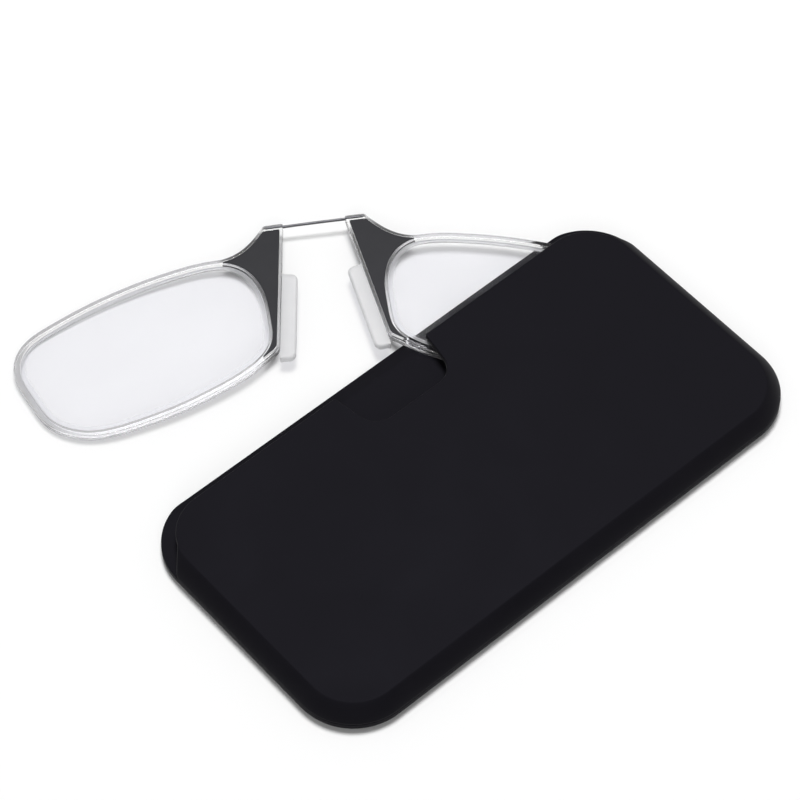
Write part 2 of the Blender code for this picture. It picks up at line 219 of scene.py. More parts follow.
def linear(code):
    # an sRGB hex colour as the linear values that shaders take
    values = np.array([int(code[k:k + 2], 16) for k in (1, 3, 5)]) / 255
    values = np.where(values <= 0.04045, values / 12.92, ((values + 0.055) / 1.055) ** 2.4)
    return (*values.tolist(), 1.0)


def addNode(tree, kind, settings=None, links=None):
    # adds one node; a setting goes to the input of that name or number, or else to the node's property
    node = tree.nodes.new("ShaderNode" + kind)
    for key, value in (settings or {}).items():
        if isinstance(key, int) or key in node.inputs:
            node.inputs[key].default_value = value
        else:
            setattr(node, key, value)
    for key, source in (links or {}).items():
        tree.links.new(source, node.inputs[key])
    return node


def newMaterial(name, settings):
    material = bpy.data.materials.new(name)
    material.use_nodes = True
    tree = material.node_tree
    shader = tree.nodes["Principled BSDF"]
    for key, value in settings.items():
        shader.inputs[key].default_value = value
    return material, tree, shader


def objectPoints(tree, grain):
    # the object's own coordinates, scaled so that one unit of pattern is grain millimetres
    place = addNode(tree, "TexCoord")
    size = 1 / (grain * mm)
    mapping = addNode(tree, "Mapping", {"Scale": (size, size, size)}, {"Vector": place.outputs["Object"]})
    return mapping.outputs["Vector"]


def passLight(tree, shader, tint):
    # clear plastic lets lamp light and light from the table through, less its tint
    path = addNode(tree, "LightPath")
    clear = addNode(tree, "BsdfTransparent", {"Color": linear(tint)})
    lit = addNode(
        tree,
        "Math",
        {"operation": "MAXIMUM"},
        {0: path.outputs["Is Shadow Ray"], 1: path.outputs["Is Diffuse Ray"]},
    )
    mix = addNode(
        tree,
        "MixShader",
        links={0: lit.outputs[0], 1: shader.outputs[0], 2: clear.outputs[0]},
    )
    tree.links.new(mix.outputs[0], tree.nodes["Material Output"].inputs["Surface"])


softTouch = {"grain": 0.22, "smudge": 17.0}


def softTouchPlastic():
    # soft-touch paint on moulded polycarbonate: nearly black, a fine dry grain, and a broad dim sheen that
    # handling has polished a little in patches
    material, tree, shader = newMaterial("softTouchPaint", {
        "Base Color": linear("#100f13"),
        "Roughness": 0.55,
        "IOR": 1.5,
        "Specular IOR Level": 0.07,
        "Specular Tint": linear("#e8e6ff"),
        "Sheen Weight": 0.09,
        "Sheen Roughness": 0.4,
    })
    fine = objectPoints(tree, softTouch["grain"])
    broad = objectPoints(tree, softTouch["smudge"])
    grain = addNode(tree, "TexNoise", {"Scale": 1.0, "Detail": 3.0}, {"Vector": fine})
    smudge = addNode(tree, "TexNoise", {"Scale": 1.0, "Detail": 4.0, "Distortion": 0.6}, {"Vector": broad})
    tone = addNode(tree, "ValToRGB", links={"Fac": smudge.outputs["Fac"]})
    tone.color_ramp.elements[0].position = 0.35
    tone.color_ramp.elements[0].color = linear("#0f0e12")
    tone.color_ramp.elements[1].position = 0.7
    tone.color_ramp.elements[1].color = linear("#121115")
    rough = addNode(
        tree,
        "MapRange",
        {"From Min": 0.3, "From Max": 0.7, "To Min": 0.56, "To Max": 0.66},
        {"Value": smudge.outputs["Fac"]},
    )
    bump = addNode(tree, "Bump", {"Strength": 0.12, "Distance": 0.02 * mm}, {"Height": grain.outputs["Fac"]})
    tree.links.new(tone.outputs["Color"], shader.inputs["Base Color"])
    tree.links.new(rough.outputs["Result"], shader.inputs["Roughness"])
    tree.links.new(bump.outputs["Normal"], shader.inputs["Normal"])
    return material


def clearPolycarbonate():
    # moulded clear polycarbonate: water-clear with soft highlights, thin edges where it bends the view, and
    # the faint waviness of a moulded surface. Its index is usually 1.585, and is lower here because the
    # edges drew too broad and dark with that.
    material, tree, shader = newMaterial("clearPolycarbonate", {
        "Base Color": linear("#fafafa"),
        "Roughness": 0.03,
        "IOR": 1.44,
        "Transmission Weight": 1.0,
    })
    waves = addNode(tree, "TexNoise", {"Scale": 1.0, "Detail": 1.0}, {"Vector": objectPoints(tree, 5.0)})
    bump = addNode(tree, "Bump", {"Strength": 0.01, "Distance": 0.02 * mm}, {"Height": waves.outputs["Fac"]})
    rough = addNode(
        tree,
        "MapRange",
        {"From Min": 0.3, "From Max": 0.7, "To Min": 0.1, "To Max": 0.14},
        {"Value": waves.outputs["Fac"]},
    )
    tree.links.new(rough.outputs["Result"], shader.inputs["Roughness"])
    tree.links.new(bump.outputs["Normal"], shader.inputs["Normal"])
    passLight(tree, shader, "#dcdcdd")
    return material


# the lens's edge band: its width and fade, and its roughness as a ground edge; its clearness and grey are
# painted shade
groundEdgeAndShade = {"width": 1.35, "fade": 0.55, "shadedClearness": 0.76, "roughness": 0.35}


def lensPlastic():
    # optical plastic under a hard coat: clear and flat, and round its edge a narrow band ground matt. The
    # band's grey colour and lower clearness are painted shade for the rim's shadow on the table seen through
    # the lens: a soft grey over white and a lighter grey over black
    material, tree, shader = newMaterial("lensPlastic", {
        "Base Color": linear("#fefefe"),
        "Roughness": 0.01,
        "IOR": 1.56,
        "Transmission Weight": 1.0,
    })
    dust = addNode(tree, "TexNoise", {"Scale": 1.0, "Detail": 5.0}, {"Vector": objectPoints(tree, 9.0)})
    polished = addNode(
        tree,
        "MapRange",
        {"From Min": 0.35, "From Max": 0.7, "To Min": 0.008, "To Max": 0.035},
        {"Value": dust.outputs["Fac"]},
    )
    place = addNode(tree, "UVMap", {"uv_map": "along"})
    split = addNode(tree, "SeparateXYZ", links={"Vector": place.outputs["UV"]})
    inner = groundEdgeAndShade["width"] - groundEdgeAndShade["fade"]
    groundAndShadeBand = addNode(
        tree,
        "MapRange",
        {"From Min": inner, "From Max": groundEdgeAndShade["width"], "To Min": 1.0, "To Max": 0.0},
        {"Value": split.outputs["Y"]},
    )
    rough = addNode(
        tree,
        "Mix",
        {3: groundEdgeAndShade["roughness"]},
        {0: groundAndShadeBand.outputs["Result"], 2: polished.outputs["Result"]},
    )
    # less clear over the band, so that it reads grey: painted shade
    shadedClearness = addNode(
        tree,
        "MapRange",
        {"To Min": 1.0, "To Max": groundEdgeAndShade["shadedClearness"]},
        {"Value": groundAndShadeBand.outputs["Result"]},
    )
    # the ramp's grey end is painted shade for the rim's shadow seen through the lens
    shade = addNode(tree, "ValToRGB", links={"Fac": groundAndShadeBand.outputs["Result"]})
    shade.color_ramp.elements[0].color = linear("#fefefe")
    shade.color_ramp.elements[1].color = linear("#dcdce0")
    tree.links.new(shade.outputs["Color"], shader.inputs["Base Color"])
    tree.links.new(shadedClearness.outputs["Result"], shader.inputs["Transmission Weight"])
    tree.links.new(rough.outputs[0], shader.inputs["Roughness"])
    passLight(tree, shader, "#fcfcfe")
    return material


def satinBlackPlastic():
    # moulded black plastic with a satin tool finish: charcoal under soft light, fine even grain
    material, tree, shader = newMaterial("satinBlackPlastic", {
        "Base Color": linear("#29292d"),
        "Roughness": 0.45,
        "IOR": 1.53,
        "Specular IOR Level": 0.16,
    })
    grain = addNode(tree, "TexNoise", {"Scale": 1.0, "Detail": 2.0}, {"Vector": objectPoints(tree, 0.16)})
    tone = addNode(tree, "TexNoise", {"Scale": 1.0, "Detail": 3.0}, {"Vector": objectPoints(tree, 3.0)})
    shade = addNode(tree, "ValToRGB", links={"Fac": tone.outputs["Fac"]})
    shade.color_ramp.elements[0].color = linear("#27272b")
    shade.color_ramp.elements[1].color = linear("#2c2c30")
    bump = addNode(tree, "Bump", {"Strength": 0.15, "Distance": 0.015 * mm}, {"Height": grain.outputs["Fac"]})
    tree.links.new(shade.outputs["Color"], shader.inputs["Base Color"])
    tree.links.new(bump.outputs["Normal"], shader.inputs["Normal"])
    return material


def frostedSilicone():
    # soft clear silicone with a frosted skin: milky, pale grey, with no sharp highlight
    material, tree, shader = newMaterial("frostedSilicone", {
        "Base Color": linear("#e0e0e2"),
        "Roughness": 0.6,
        "IOR": 1.41,
        "Transmission Weight": 0.35,
        "Subsurface Weight": 0.3,
        "Subsurface Radius": (1.0, 1.0, 1.0),
        "Subsurface Scale": 1.2 * mm,
    })
    skin = addNode(tree, "TexNoise", {"Scale": 1.0, "Detail": 2.0}, {"Vector": objectPoints(tree, 0.25)})
    cloud = addNode(tree, "TexNoise", {"Scale": 1.0, "Detail": 2.0}, {"Vector": objectPoints(tree, 4.0)})
    shade = addNode(tree, "ValToRGB", links={"Fac": cloud.outputs["Fac"]})
    shade.color_ramp.elements[0].color = linear("#dddddf")
    shade.color_ramp.elements[1].color = linear("#e5e5e5")
    bump = addNode(tree, "Bump", {"Strength": 0.2, "Distance": 0.02 * mm}, {"Height": skin.outputs["Fac"]})
    tree.links.new(shade.outputs["Color"], shader.inputs["Base Color"])
    tree.links.new(bump.outputs["Normal"], shader.inputs["Normal"])
    passLight(tree, shader, "#e8e8ea")
    return material


def springSteel():
    # rolled spring steel: mid grey, its fine rolling lines drawn out along the strip
    material, tree, shader = newMaterial("springSteel", {
        "Base Color": linear("#5e5e61"),
        "Metallic": 1.0,
        "Roughness": 0.32,
    })
    place = addNode(tree, "UVMap", {"uv_map": "along"})
    drawn = addNode(tree, "Mapping", {"Scale": (0.4, 14.0, 1.0)}, {"Vector": place.outputs["UV"]})
    lines = addNode(tree, "TexNoise", {"Scale": 1.0, "Detail": 3.0}, {"Vector": drawn.outputs["Vector"]})
    rough = addNode(
        tree,
        "MapRange",
        {"From Min": 0.3, "From Max": 0.7, "To Min": 0.32, "To Max": 0.46},
        {"Value": lines.outputs["Fac"]},
    )
    bump = addNode(tree, "Bump", {"Strength": 0.2, "Distance": 0.01 * mm}, {"Height": lines.outputs["Fac"]})
    tree.links.new(rough.outputs["Result"], shader.inputs["Roughness"])
    tree.links.new(bump.outputs["Normal"], shader.inputs["Normal"])
    return material


def foamTape():
    # closed-cell acrylic foam: matt grey with small open cells along its cut edge
    material, tree, shader = newMaterial("foamTape", {"Base Color": linear("#b4b4b4"), "Roughness": 0.85})
    cells = addNode(tree, "TexVoronoi", {"Scale": 1.0}, {"Vector": objectPoints(tree, 0.18)})
    shade = addNode(tree, "ValToRGB", links={"Fac": cells.outputs["Distance"]})
    shade.color_ramp.elements[0].color = linear("#9a9a9a")
    shade.color_ramp.elements[1].color = linear("#c0c0c0")
    height = cells.outputs["Distance"]
    bump = addNode(tree, "Bump", {"Strength": 0.5, "Distance": 0.05 * mm}, {"Height": height})
    tree.links.new(shade.outputs["Color"], shader.inputs["Base Color"])
    tree.links.new(bump.outputs["Normal"], shader.inputs["Normal"])
    return material


def linerPaper():
    # silicone-coated release paper: warm off-white fibres under a waxy film
    material, tree, shader = newMaterial("linerPaper", {
        "Base Color": linear("#e6e0cf"),
        "Roughness": 0.5,
        "Coat Weight": 0.25,
        "Coat Roughness": 0.25,
    })
    fibres = addNode(tree, "TexNoise", {"Scale": 1.0, "Detail": 6.0}, {"Vector": objectPoints(tree, 0.5)})
    shade = addNode(tree, "ValToRGB", links={"Fac": fibres.outputs["Fac"]})
    shade.color_ramp.elements[0].color = linear("#ded7c4")
    shade.color_ramp.elements[1].color = linear("#ece7d8")
    bump = addNode(tree, "Bump", {"Strength": 0.2, "Distance": 0.01 * mm}, {"Height": fibres.outputs["Fac"]})
    tree.links.new(shade.outputs["Color"], shader.inputs["Base Color"])
    tree.links.new(bump.outputs["Normal"], shader.inputs["Normal"])
    return material


finishes = {
    "case_shell": softTouchPlastic(),
    "clear_frame": clearPolycarbonate(),
    "lens": lensPlastic(),
    "nose_plate": satinBlackPlastic(),
    "silicone": frostedSilicone(),
    "bridge_metal": springSteel(),
    "adhesive_foam": foamTape(),
    "liner_paper": linerPaper(),
}
print("materials made")


# The case

caseShape = {
    "cornerRadius": 12.4,
    "slope": 2.9,  # width and height of the sloped edge
    "slopeFullness": 1.29,  # 1 is a straight slope, and 2 a round one
    "coverThickness": 1.1,
    "endWall": 2.6,
    "farWall": 3.4,
    "wallEndSetback": 8.7,
    "wallEndTaper": 5.0,
    "wallEndOvercut": 1.0,
    "wallEndRadius": 2.5,
    "taperRadius": 1.5,
    "seam": 0.1,
    "notchWidth": 19.6,
    "notchDepth": 13.1,
    "notchLean": 9.0,
    "notchRadius": 4.6,
    "lipRound": 0.25,
    "lowerRound": 0.12,
    "thinnestWall": 0.2,
    "hollowStep": 0.2,  # from the pocket's edge to the ring beside it, so that the ceiling is shaded flat
    "lipUnderside": (0.36, 0.28, 0.2),
    "lipFade": 0.6,
    "topStep": 0.15,
    "points": 1500,
    "cornerSoftness": 0.3,
    "creaseEnds": {"x": (48, 51), "y": (14, 17), "softness": 0.9},  # where the slope's top line is softened
}
backBox = [np.array(corner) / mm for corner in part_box("case_back")]
coverBox = [np.array(corner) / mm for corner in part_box("case_cover")]
halfLength, halfWidth = backBox[1][:2]
backLow, backTop = backBox[0][2], backBox[1][2]
coverLow = backTop + caseShape["seam"]
coverTop = coverBox[1][2]
ceiling = coverTop - caseShape["coverThickness"]


def insideCase(points):
    return insideRectangle(points, halfLength, halfWidth, caseShape["cornerRadius"])


def outsidePocket(points):
    # distance out of the pocket, which is a rounded rectangle open past the case's open edge
    low = -halfWidth + caseShape["farWall"]
    high = 2 * halfWidth
    halfX = halfLength - caseShape["endWall"]
    radius = caseShape["cornerRadius"] - caseShape["endWall"]
    return -insideRectangle(points, halfX, (high - low) / 2, radius, (high + low) / 2)


def slopeHeight(inset):
    # a superellipse from the slope's foot up to the cover's top
    share = np.clip(inset / caseShape["slope"], 0, 1)
    power = caseShape["slopeFullness"]
    return coverTop - caseShape["slope"] * (1 - (1 - (1 - share) ** power) ** (1 / power))


def coverOutline(count):
    # right half of the outline as corners and radii, then its mirror image
    radius = caseShape["cornerRadius"]
    lipRadius = radius - caseShape["slope"]
    lipY = halfWidth - caseShape["slope"]
    middleX, middleY = halfLength - radius, halfWidth - radius
    wallEnd = halfWidth - caseShape["wallEndSetback"]
    angle = math.asin((wallEnd - middleY) / lipRadius)
    lipCornerX = middleX + lipRadius * math.tan((math.pi / 2 - angle) / 2)
    wallEndX = middleX + lipRadius * math.cos(angle)
    over = caseShape["wallEndOvercut"]
    taperStartY = wallEnd - caseShape["wallEndTaper"] * (1 - over / (halfLength + over - wallEndX))
    notchY = halfWidth - caseShape["notchDepth"]
    notchX = caseShape["notchWidth"] / 2
    notchMouthX = notchX + (lipY - notchY) * math.tan(math.radians(caseShape["notchLean"]))
    corners = [
        ((notchX, notchY), caseShape["notchRadius"]),
        ((notchMouthX, lipY), 0),
        ((lipCornerX, lipY), lipRadius),
        ((wallEndX, wallEnd), caseShape["wallEndRadius"]),
        ((halfLength, taperStartY), caseShape["taperRadius"]),
        ((halfLength, -halfWidth), radius),
    ]
    mirrored = [((-x, y), r) for (x, y), r in reversed(corners)]
    points, radii = zip(*(corners + mirrored))
    return softened(evenly(roundedPath(points, radii), count), caseShape["cornerSoftness"])


def makeCaseCover():
    # rings from the hollow's edge, under and round the outer wall, and over the sloped edge to the flat top.
    # Every ring follows the same outline, moved inward, and the slope's height comes from the distance to
    # the case's full outline, so that it runs out by itself where the open edge cuts it off.
    outline = coverOutline(caseShape["points"])
    out = outwards(outline)
    inset = insideCase(outline)[:, None]
    onLip = smoothStep(0, caseShape["lipFade"], inset)
    round1, round2 = caseShape["lowerRound"], caseShape["lipRound"]

    outside = outsidePocket(outline)[:, None]
    isWall = outside > caseShape["thinnestWall"]
    pocketEdge = outline - steepest(outsidePocket, outline) * outside
    low = np.where(isWall, coverLow, ceiling)[:, 0]

    under = caseShape["lipUnderside"]
    inHollow = pocketEdge - out * caseShape["hollowStep"]
    rings = [
        atHeight(np.where(isWall, inHollow, outline - out * under[0]), ceiling),
        atHeight(np.where(isWall, pocketEdge, outline - out * under[1]), ceiling),
        atHeight(np.where(isWall, pocketEdge, outline - out * under[2]), low),
    ]
    for turn in np.linspace(0, math.pi / 2, 4):
        moved = round1 * (1 - math.sin(turn))
        rings.append(atHeight(outline - out * moved, low + round1 * (1 - math.cos(turn))))

    slopeLeft = np.maximum(caseShape["slope"] - inset, 0)
    crease = outline + steepest(insideCase, outline) * slopeLeft - out * round2
    ends = caseShape["creaseEnds"]
    nearEnds = smoothStep(*ends["x"], np.abs(outline[:, :1])) * smoothStep(*ends["y"], outline[:, 1:])
    crease += (softened(crease, ends["softness"]) - crease) * nearEnds
    for share in (1 - np.cos(np.linspace(0, math.pi, 25))) / 2:
        ring = outline + (crease - outline) * share
        away = np.clip(round2 - np.linalg.norm(ring - outline, axis=1), 0, round2)
        rounding = (round2 - np.sqrt(round2**2 - away**2)) * onLip[:, 0]
        rings.append(atHeight(ring, slopeHeight(insideCase(ring)) - rounding))
    rings.append(atHeight(crease - out * caseShape["topStep"], coverTop))
    points, faces = stackedRings(rings)
    cover = makePiece("caseCover", points * mm, faces, finishes["case_shell"])
    return settle(cover, "case", "case_cover")


backShape = {
    "lowerRound": 0.3,
    "upperRound": 0.12,
    "leadInDrop": 0.6,
    "leadInFade": 4.0,
    "recessLength": 102.6,
    "recessWidth": 50.6,
    "recessRadius": 8.3,
    "recessTop": 1.05,
    "edgeStep": 0.2,  # from a rounded or sharp edge to the ring beside it
    "floorRings": (0.5, 1.2, 1.9, 2.6, 3.0, 3.4),
    "points": 1100,
}


def backHeight(points):
    # flat, but falling away along the open edge between the ends of the walls
    lipY = halfWidth - caseShape["slope"]
    fall = np.clip(points[:, 1] - lipY, 0, None) / caseShape["slope"] * backShape["leadInDrop"]
    straight = halfLength - caseShape["cornerRadius"]
    fade = smoothStep(straight, straight + backShape["leadInFade"], np.abs(points[:, 0]))
    return backTop - fall * (1 - fade)


def insideRecess(points):
    return insideRectangle(
        points,
        backShape["recessLength"] / 2,
        backShape["recessWidth"] / 2,
        backShape["recessRadius"],
    )


def makeCaseBack():
    # rings from the recess under the back, out to the lower edge, up the side and in over the floor
    outline = evenly(roundedRectangle(halfLength, halfWidth, caseShape["cornerRadius"]), backShape["points"])
    out = outwards(outline)
    recess = outline + steepest(insideRecess, outline) * -insideRecess(outline)[:, None]
    towards = steepest(insideRecess, recess)
    round1, round2 = backShape["lowerRound"], backShape["upperRound"]
    step = backShape["edgeStep"]
    rings = [
        atHeight(recess + towards * step, backShape["recessTop"]),
        atHeight(recess, backShape["recessTop"]),
        atHeight(recess, backLow),
        atHeight(recess - towards * step, backLow),
        atHeight(outline - out * (round1 + step), backLow),
    ]
    for turn in np.linspace(0, math.pi / 2, 6):
        ring = outline - out * round1 * (1 - math.sin(turn))
        rings.append(atHeight(ring, backLow + round1 * (1 - math.cos(turn))))
    for turn in np.linspace(0, math.pi / 2, 5):
        ring = outline - out * round2 * (1 - math.cos(turn))
        rings.append(atHeight(ring, backHeight(ring) - round2 * (1 - math.sin(turn))))
    for moved in backShape["floorRings"]:
        ring = outline - out * moved
        rings.append(atHeight(ring, backHeight(ring)))
    points, faces = stackedRings(rings)
    back = makePiece("caseBack", points * mm, faces, finishes["case_shell"])
    return settle(back, "case", "case_back")


sheetShape = {"cornerRadius": 8.0, "edgeStep": 0.2, "points": 600}


def makeSheetPiece(name, node, slot, edgeRound):
    # a flat sheet with the outline of its solid, and softly rounded edges
    low, high = (np.array(corner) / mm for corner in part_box(node))
    halfX, halfY = high[:2]
    outline = evenly(roundedRectangle(halfX, halfY, sheetShape["cornerRadius"]), sheetShape["points"])
    out = outwards(outline)
    turns = np.linspace(0, math.pi / 2, 4)
    step = edgeRound + sheetShape["edgeStep"]
    rings = [atHeight(outline - out * step, low[2])]
    rings += [
        atHeight(outline - out * edgeRound * (1 - math.sin(t)), low[2] + edgeRound * (1 - math.cos(t)))
        for t in turns
    ]
    rings += [
        atHeight(outline - out * edgeRound * (1 - math.cos(t)), high[2] - edgeRound * (1 - math.sin(t)))
        for t in turns
    ]
    rings.append(atHeight(outline - out * step, high[2]))
    points, faces = stackedRings(rings)
    sheet = makePiece(name, points * mm, faces, finishes[slot])
    return settle(sheet, "case", node)


makeCaseCover()
makeCaseBack()
makeSheetPiece("adhesivePad", "adhesive_pad", "adhesive_foam", 0.15)
makeSheetPiece("releaseLiner", "release_liner", "liner_paper", 0.04)
print("case made")


# The glasses, in the frame of the bridge's middle: x along the bridge, y towards the brow, z out of the face

glassesShape = {
    "turn": -32.8,  # degrees, how the glasses lie
    "thickness": 1.8,
    "lensWidth": 48.6,
    "lensHeight": 34.85,
    "lensTopDrop": 7.4,
    "lensNoseSet": 11.9,
    "rimWidth": 1.15,
    "ledgeWidth": 0.3,
    "ledgeThickness": 0.5,
    "bridgeSpan": 12.4,
    "bridgeGrip": 3.5,
    "blockEnd": 0.4,
    "blockHeight": 0.6,
    "noseEdgeLength": 29.6,
    "noseEdgeLean": 8.4,
    "noseCornerRadius": 2.2,
    "shoulderStart": (2.5, -3.35),
    "shoulderEnd": (-4.6, 0.2),
    "edgeRound": 0.12,
    "boreRound": 0.07,
    "windowRound": 0.06,
    "plateBorder": 0.6,
    "plateWeb": 0.5,
    "plateTip": 0.22,
    "plateSoftness": 0.2,
    "plateDepth": 1.1,
    "cornerSoftness": 0.32,
    "openingSoftness": 0.5,
    "outlineStep": 0.06,  # from a rounded edge to the ring beside it, and the same for the next three
    "boreStep": 0.05,
    "seatStep": 0.02,
    "floorStep": 0.1,
    "outlinePoints": 900,
    "openingPoints": 600,
    "platePoints": 420,
}

# the lens opening: each point is its share of the way across from the nose and down from the top
lensPoints = [
    (0.167, 0.000),
    (0.372, 0.036),
    (0.619, 0.138),
    (0.846, 0.281),
    (0.961, 0.390),
    (1.000, 0.534),
    (0.961, 0.712),
    (0.879, 0.915),
    (0.733, 1.000),
    (0.496, 0.947),
    (0.280, 0.844),
    (0.095, 0.712),
    (0.014, 0.591),
    (0.000, 0.433),
    (0.014, 0.209),
    (0.072, 0.060),
]
rimLastPoint = 11  # the rim has its own width from the first lens point to this one

flexJoint = next(joint for joint in frame["joints"] if joint["name"] == "bridge_flex")
bridgeMiddle = np.array(flexJoint["pos_m"]) / mm
faceTop = glassesShape["thickness"] / 2
tipReach = glassesShape["lensNoseSet"] + glassesShape["lensWidth"] + glassesShape["rimWidth"]
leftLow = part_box("left_rim")[0].z / mm
droop = math.asin((bridgeMiddle[2] - faceTop - leftLow) / tipReach)


def placed(points, side):
    # from the glasses' frame to the world: mirrored for the left half, which also droops to the table
    turned = Matrix.Rotation(math.radians(glassesShape["turn"]), 3, "Z")
    if side < 0:
        turned = turned @ Matrix.Rotation(-droop, 3, "Y")
    return (points * [side, 1, 1] @ np.array(turned).T + bridgeMiddle) * mm


def bezier(start, startHandle, endHandle, end, count):
    # a cubic Bezier: the four points weighted by the Bernstein shares
    share = np.linspace(0, 1, count)[:, None]
    rest = 1 - share
    return (
        rest**3 * start
        + 3 * rest**2 * share * startHandle
        + 3 * rest * share**2 * endHandle
        + share**3 * end
    )


def lensOpening(steps):
    # a Bezier between each two lens points, its handles a third of the way along the lines between
    # the neighbours of each point
    shares = np.array(lensPoints)
    left, top = glassesShape["lensNoseSet"], -glassesShape["lensTopDrop"]
    here = np.column_stack([
        left + shares[:, 0] * glassesShape["lensWidth"],
        top - shares[:, 1] * glassesShape["lensHeight"],
    ])
    there = np.roll(here, -1, 0)
    reach = np.linalg.norm(there - here, axis=1, keepdims=True) / 3
    leaving = here + unit(there - np.roll(here, 1, 0)) * reach
    arriving = there - unit(np.roll(here, -2, 0) - here) * reach
    drawn = bezier(here[:, None], leaving[:, None], arriving[:, None], there[:, None], steps + 1)
    return drawn[:, :-1].reshape(-1, 2)


def noseEdge():
    lean = math.radians(glassesShape["noseEdgeLean"])
    return np.array([glassesShape["bridgeSpan"] / 2, 0]), np.array([math.sin(lean), -math.cos(lean)])


def frameOutline(opening, steps):
    # over the bridge's grip, down the shoulder, round the rim, round the nose corner, up the nose edge
    start, along = noseEdge()
    block = glassesShape["blockHeight"]
    rim = (opening + outwards(opening) * glassesShape["rimWidth"])[: rimLastPoint * steps + 1]
    topInner = start - along * block / math.cos(math.radians(glassesShape["noseEdgeLean"]))
    topOuter = start + [glassesShape["bridgeGrip"] + glassesShape["blockEnd"], block]
    shoulder = bezier(
        topOuter,
        topOuter + glassesShape["shoulderStart"],
        rim[0] + glassesShape["shoulderEnd"],
        rim[0],
        40,
    )
    corner = start + along * glassesShape["noseEdgeLength"]
    sharp = np.vstack([topInner, shoulder[:-1], rim, corner])
    radii = [0] * (len(sharp) - 1) + [glassesShape["noseCornerRadius"]]
    return roundedPath(sharp, radii)


def nearest(points, others):
    return np.linalg.norm(points[:, None] - others[None], axis=2).min(axis=1)


def plateOutline(outline, opening):
    # the triangle between the shoulder, the nose edge and the lens: the frame's outline moved in as far as
    # it stays clear of the lens, then back along the lens opening moved out. It ends where it would be
    # narrower than its tip.
    border, web, tip = (glassesShape[k] for k in ("plateBorder", "plateWeb", "plateTip"))
    inner = outline - outwards(outline) * border
    ceilingY = -glassesShape["blockHeight"]
    keep = (nearest(inner, opening) > web + tip) & (inner[:, 1] < ceilingY)
    isShoulder = np.cumsum(~keep) == np.cumsum(~keep)[np.argmax(keep)]
    shoulderSide, noseSide = inner[keep & isShoulder], inner[keep & ~isShoulder]
    around = opening + outwards(opening) * web
    around = np.roll(around, -np.argmax(around[:, 0]), 0)
    lensSide = around[nearest(around, outline) > border + tip]
    joined = np.vstack([shoulderSide, lensSide[::-1], noseSide])
    return softened(evenly(joined, glassesShape["platePoints"]), glassesShape["plateSoftness"])


def makeRim(side, name, opening, outline, window):
    # loops of rings round the outside, through the lens bore with its ledge, and down the plate's window,
    # and flat faces between them
    top, low = faceTop, -faceTop
    turns = np.linspace(0, math.pi / 2, 6)

    def edge(loop, outward, radius, height, downward):
        # rings over a rounded edge, from the flat face to the side of a loop
        away = outwards(loop) * outward
        return [
            atHeight(loop - away * radius * (1 - math.sin(t)), height - downward * radius * (1 - math.cos(t)))
            for t in turns
        ]

    def held(loop, outward, distance, height):
        return atHeight(loop - outwards(loop) * outward * distance, height)

    round1, round2, round3 = (glassesShape[k] for k in ("edgeRound", "boreRound", "windowRound"))
    outlineStep, boreStep, seatStep, floorStep = (
        glassesShape[k] for k in ("outlineStep", "boreStep", "seatStep", "floorStep")
    )
    outer = [held(outline, 1, round1 + outlineStep, top)]
    outer += edge(outline, 1, round1, top, 1)
    outer += edge(outline, 1, round1, low, -1)[::-1]
    outer += [held(outline, 1, round1 + outlineStep, low)]

    seat = low + glassesShape["ledgeThickness"]
    ledge = opening - outwards(opening) * glassesShape["ledgeWidth"]
    bore = [held(opening, -1, round2 + boreStep, top)]
    bore += edge(opening, -1, round2, top, 1)
    bore += [
        atHeight(opening, seat),
        held(opening, 1, boreStep, seat),
        held(ledge, -1, round2 + seatStep, seat),
    ]
    bore += edge(ledge, -1, round2, seat, 1)
    bore += edge(ledge, -1, round2, low, -1)[::-1]
    bore += [held(ledge, -1, round2 + boreStep, low)]

    floor = top - glassesShape["plateDepth"]
    recess = [held(window, -1, round3 + boreStep, top)]
    recess += edge(window, -1, round3, top, 1)
    recess += [atHeight(window, floor), held(window, 1, floorStep, floor)]

    points = np.vstack(outer + bore + recess)
    faces, first, last, total = [], [], [], 0
    for rings in (outer, bore, recess):
        count = len(rings[0])
        faces += (ringQuads(len(rings), count) + total).tolist()
        first.append((total, count))
        total += len(rings) * count
        last.append((total - count, count))
    faces += flatFill(points, first) + flatFill(points, last[:2]) + flatFill(points, last[2:])
    rim = makePiece(name + "Rim", placed(points, side), faces, finishes["clear_frame"])
    return settle(rim, name + "_half", name + "_rim")


lensShape = {
    "fit": 0.1,
    "bevel": 0.14,
    "bevelDrop": 0.1,
    "backBevel": (0.1, 0.02),  # in from the edge, and up from the back
    "backEdge": 0.12,  # up from the back to where the upright edge starts
    "frontBevel": (0.06, 0.04),  # in from the edge, and up from where the upright edge ends
    "seatGap": 0.1,
    "thickness": 0.8,
    "dome": 0.22,
}


